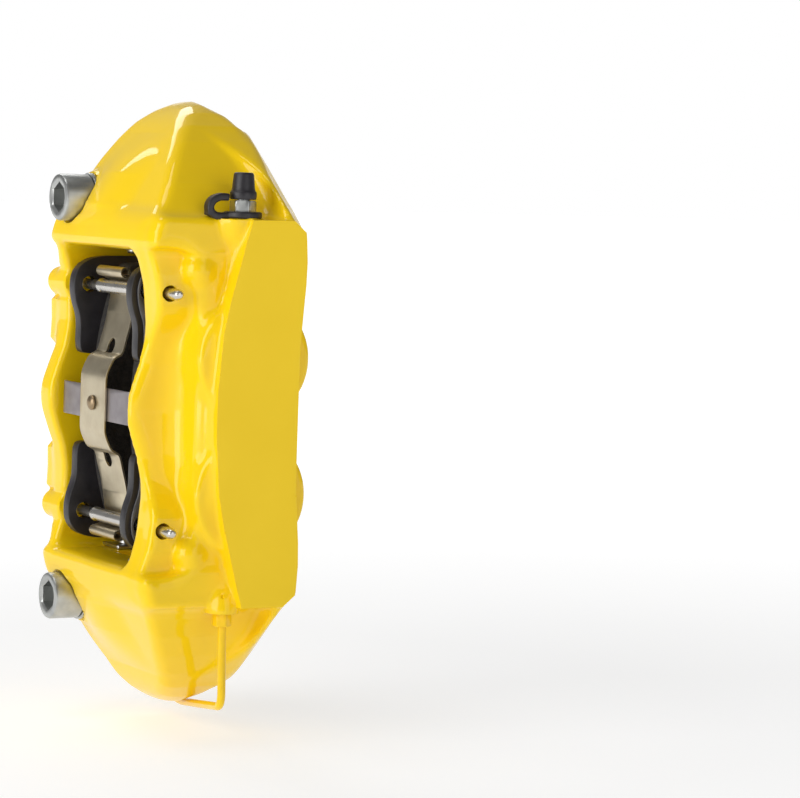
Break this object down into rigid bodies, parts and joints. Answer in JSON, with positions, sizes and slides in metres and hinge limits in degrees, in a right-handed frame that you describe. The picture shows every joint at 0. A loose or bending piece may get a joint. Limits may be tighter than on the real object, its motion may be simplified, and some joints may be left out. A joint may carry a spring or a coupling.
{
  "type": "brake caliper",
  "caption": "Fixed opposed-piston brake caliper with yellow cast body, open pad window, spring-loaded pads on two pins, bleed screws, external crossover pipe and radial mounting bolts.",
  "frame": {"origin": "midway between the axes of the two mounting bolts, on the flat plane where the caliper's two mounting lands meet the bracket", "axes": "+X points from the caliper towards the wheel hub, along the mounting bolts; +Y runs along the disc's axis from the outboard (wheel) side to the inboard side; +Z is the caliper's long direction, with the bleed screws at the top"},
  "size_m": [0.0903, 0.142, 0.276],
  "materials": {
    "yellow_paint": "cast aluminium under gloss yellow powder coat",
    "yellow_pipe_paint": "steel under the same yellow coat",
    "anodised_aluminium": "hard anodised, satin",
    "seal_rubber": "matte",
    "black_rubber": "satin moulded",
    "backing_plate": "black paint, bare worn edges",
    "friction_material": "coarse matte friction compound",
    "shim_steel": "rubber coated",
    "spring_steel": "passivated, fine brushed",
    "wing_steel": "satin",
    "pin_steel": "ground",
    "zinc_steel": "zinc flake, satin",
    "stainless_steel": "bright rolled"
  },
  "bodies": {
    "caliper": {"caliper_body": "yellow_paint", "crossover_pipe": "yellow_pipe_paint", "leaf_spring": "spring_steel", "wing_plate": "wing_steel", "spring_rivet": "zinc_steel", "cap_tether_outboard": "black_rubber", "flare_nut_outboard": "yellow_pipe_paint", "piston_seal_outboard_upper": "seal_rubber", "dust_seal_outboard_upper": "seal_rubber", "abutment_plate_outboard_upper": "stainless_steel", "abutment_screw_outboard_upper": "stainless_steel", "piston_seal_outboard_lower": "seal_rubber", "dust_seal_outboard_lower": "seal_rubber", "abutment_plate_outboard_lower": "stainless_steel", "abutment_screw_outboard_lower": "stainless_steel", "cap_tether_inboard": "black_rubber", "flare_nut_inboard": "yellow_pipe_paint", "piston_seal_inboard_upper": "seal_rubber", "dust_seal_inboard_upper": "seal_rubber", "abutment_plate_inboard_upper": "stainless_steel", "abutment_screw_inboard_upper": "stainless_steel", "piston_seal_inboard_lower": "seal_rubber", "dust_seal_inboard_lower": "seal_rubber", "abutment_plate_inboard_lower": "stainless_steel", "abutment_screw_inboard_lower": "stainless_steel", "mounting_bolt_upper": "zinc_steel", "bolt_washer_upper": "zinc_steel", "mounting_bolt_lower": "zinc_steel", "bolt_washer_lower": "zinc_steel"},
    "pad_outboard": {"pad_plate_outboard": "backing_plate", "pad_friction_outboard": "friction_material", "pad_shim_outboard": "shim_steel"},
    "piston_outboard_upper": {"piston_outboard_upper": "anodised_aluminium"},
    "piston_outboard_lower": {"piston_outboard_lower": "anodised_aluminium"},
    "pad_inboard": {"pad_plate_inboard": "backing_plate", "pad_friction_inboard": "friction_material", "pad_shim_inboard": "shim_steel"},
    "piston_inboard_upper": {"piston_inboard_upper": "anodised_aluminium"},
    "piston_inboard_lower": {"piston_inboard_lower": "anodised_aluminium"},
    "pin_upper": {"retaining_pin_upper": "pin_steel", "pin_sleeve_upper": "spring_steel"},
    "pin_lower": {"retaining_pin_lower": "pin_steel", "pin_sleeve_lower": "spring_steel"},
    "bleed_screw_outboard": {"bleed_screw_outboard": "zinc_steel"},
    "bleed_cap_outboard": {"bleed_cap_outboard": "black_rubber"},
    "bleed_screw_inboard": {"bleed_screw_inboard": "zinc_steel"},
    "bleed_cap_inboard": {"bleed_cap_inboard": "black_rubber"}
  },
  "joints": [
    {"name": "pad_slide_outboard", "type": "slide", "parent": "caliper", "child": "pad_outboard", "axis": [0, 1, 0], "range_m": [0, 0.01]},
    {"name": "piston_slide_outboard_upper", "type": "slide", "parent": "caliper", "child": "piston_outboard_upper", "axis": [0, 1, 0], "range_m": [0, 0.01]},
    {"name": "piston_slide_outboard_lower", "type": "slide", "parent": "caliper", "child": "piston_outboard_lower", "axis": [0, 1, 0], "range_m": [0, 0.01]},
    {"name": "pad_slide_inboard", "type": "slide", "parent": "caliper", "child": "pad_inboard", "axis": [0, -1, 0], "range_m": [0, 0.01]},
    {"name": "piston_slide_inboard_upper", "type": "slide", "parent": "caliper", "child": "piston_inboard_upper", "axis": [0, -1, 0], "range_m": [0, 0.01]},
    {"name": "piston_slide_inboard_lower", "type": "slide", "parent": "caliper", "child": "piston_inboard_lower", "axis": [0, -1, 0], "range_m": [0, 0.01]},
    {"name": "pin_slide_upper", "type": "slide", "parent": "caliper", "child": "pin_upper", "axis": [0, 1, 0], "range_m": [0, 0.11]},
    {"name": "pin_slide_lower", "type": "slide", "parent": "caliper", "child": "pin_lower", "axis": [0, 1, 0], "range_m": [0, 0.11]},
    {"name": "bleed_turn_outboard", "type": "hinge", "parent": "caliper", "child": "bleed_screw_outboard", "pos_m": [-0.019, -0.09, 0.084], "axis": [0, 0, 1], "range_deg": [0, 180]},
    {"name": "cap_lift_outboard", "type": "slide", "parent": "caliper", "child": "bleed_cap_outboard", "axis": [0, 0, 1], "range_m": [0, 0.016]},
    {"name": "bleed_turn_inboard", "type": "hinge", "parent": "caliper", "child": "bleed_screw_inboard", "pos_m": [-0.019, 0.03, 0.084], "axis": [0, 0, 1], "range_deg": [0, 180]},
    {"name": "cap_lift_inboard", "type": "slide", "parent": "caliper", "child": "bleed_cap_inboard", "axis": [0, 0, 1], "range_m": [0, 0.016]}
  ],
  "couplings": [
    {"joint": "piston_slide_outboard_upper", "follows": "pad_slide_outboard", "ratio": 1},
    {"joint": "piston_slide_outboard_lower", "follows": "pad_slide_outboard", "ratio": 1},
    {"joint": "piston_slide_inboard_upper", "follows": "pad_slide_inboard", "ratio": 1},
    {"joint": "piston_slide_inboard_lower", "follows": "pad_slide_inboard", "ratio": 1}
  ]
}
